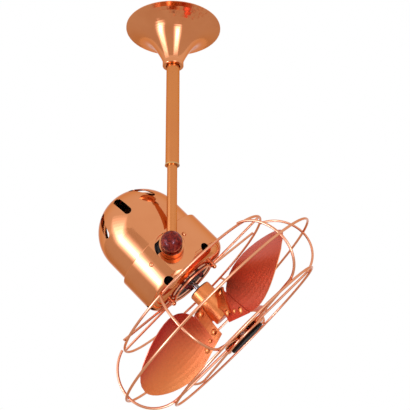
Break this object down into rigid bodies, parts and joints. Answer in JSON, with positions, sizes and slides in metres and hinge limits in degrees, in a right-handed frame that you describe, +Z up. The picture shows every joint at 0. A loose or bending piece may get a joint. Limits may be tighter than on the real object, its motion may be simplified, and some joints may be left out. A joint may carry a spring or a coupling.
{
  "type": "directional ceiling fan",
  "caption": "Caged fan head on a ceiling drop rod under a trumpet canopy; the head tilts on a ball-knob clamp and swivels round the rod.",
  "frame": {"origin": "centre of the two ceiling slots, on the ceiling plane and on the drop rod's axis", "axes": "+Z up along the rod; +X to the side the cage faces; -Y to the side with the ball knob; the head's axis lies in a plane parallel to XZ"},
  "size_m": [0.3571, 0.4062, 0.6236],
  "materials": {
    "polished_copper": "polished copper plate under clear lacquer",
    "satin_copper": "satin copper lacquer on sheet steel",
    "zinc_steel": "bright zinc plate",
    "lamination_steel": "stacked electrical sheet",
    "charcoal_enamel": "dark grey stove enamel on a casting",
    "bronze": "turned bronze",
    "terminal_plastic": "moulded, matt",
    "cable_plastic": "moulded, matt",
    "winding_enamel": "varnished enamelled wire",
    "turned_wood": "dark red lacquered turned wood",
    "red_rubber": "moulded rubber",
    "black_steel": "blackened"
  },
  "bodies": {
    "hanger": {"ceiling_bracket": "zinc_steel", "hanger_pin": "zinc_steel", "hanger_nut": "zinc_steel", "earth_screw": "bronze", "terminal_block": "terminal_plastic", "supply_leads": "cable_plastic", "upper_tube": "polished_copper", "swivel_bush": "bronze", "bush_screws": "zinc_steel"},
    "canopy": {"canopy": "polished_copper", "canopy_collar": "polished_copper", "canopy_screw": "zinc_steel"},
    "stem": {"lower_stem": "polished_copper", "thrust_washer": "bronze", "stem_retainer": "zinc_steel", "stem_cable": "cable_plastic", "pivot_cup": "polished_copper"},
    "head": {"friction_disc": "cable_plastic", "pivot_bolt": "zinc_steel", "pivot_bracket": "polished_copper", "band_screws": "polished_copper", "front_housing": "polished_copper", "rear_dome": "polished_copper", "front_shield": "charcoal_enamel", "rear_shield": "charcoal_enamel", "front_bearing": "bronze", "rear_bearing": "bronze", "stator_core": "lamination_steel", "windings": "winding_enamel", "tie_bolts": "zinc_steel", "capacitor": "cable_plastic", "nose_bushes": "red_rubber", "nose_screws": "black_steel", "cage_screws": "polished_copper", "cage_spacers": "polished_copper", "cage_hub_ring": "polished_copper", "cage_arms": "polished_copper", "rear_ring": "polished_copper", "middle_ring": "polished_copper", "front_ring": "polished_copper", "cage_ribs": "polished_copper", "front_hub_ring": "polished_copper", "cap_plate": "polished_copper", "front_plate": "polished_copper", "front_cap": "charcoal_enamel", "cap_screw": "zinc_steel"},
    "knob": {"ball_knob": "turned_wood", "knob_insert": "bronze"},
    "rotor": {"motor_shaft": "zinc_steel", "rotor_core": "lamination_steel", "fan_hub": "satin_copper", "hub_screw": "zinc_steel", "blade_iron_1": "satin_copper", "blade_iron_2": "satin_copper", "blade_iron_3": "satin_copper", "blade_1": "satin_copper", "blade_2": "satin_copper", "blade_3": "satin_copper", "blade_rivets": "polished_copper"}
  },
  "joints": [
    {"name": "canopy_slide", "type": "slide", "parent": "hanger", "child": "canopy", "axis": [0, 0, 1], "range_m": [-0.09, 0]},
    {"name": "stem_swivel", "type": "hinge", "parent": "hanger", "child": "stem", "pos_m": [0, 0, -0.252], "axis": [0, 0, 1], "range_deg": [-170, 170]},
    {"name": "head_tilt", "type": "hinge", "parent": "stem", "child": "head", "pos_m": [0, 0.0101, -0.388], "axis": [0, 1, 0], "range_deg": [-46, 134]},
    {"name": "knob_turn", "type": "hinge", "parent": "head", "child": "knob", "pos_m": [0, -0.0123, -0.388], "axis": [0, 1, 0], "range_deg": [0, 360]},
    {"name": "fan_spin", "type": "hinge", "parent": "head", "child": "rotor", "pos_m": [0, 0.0846, -0.388], "axis": [0.6947, 0, -0.7193], "continuous": true}
  ]
}
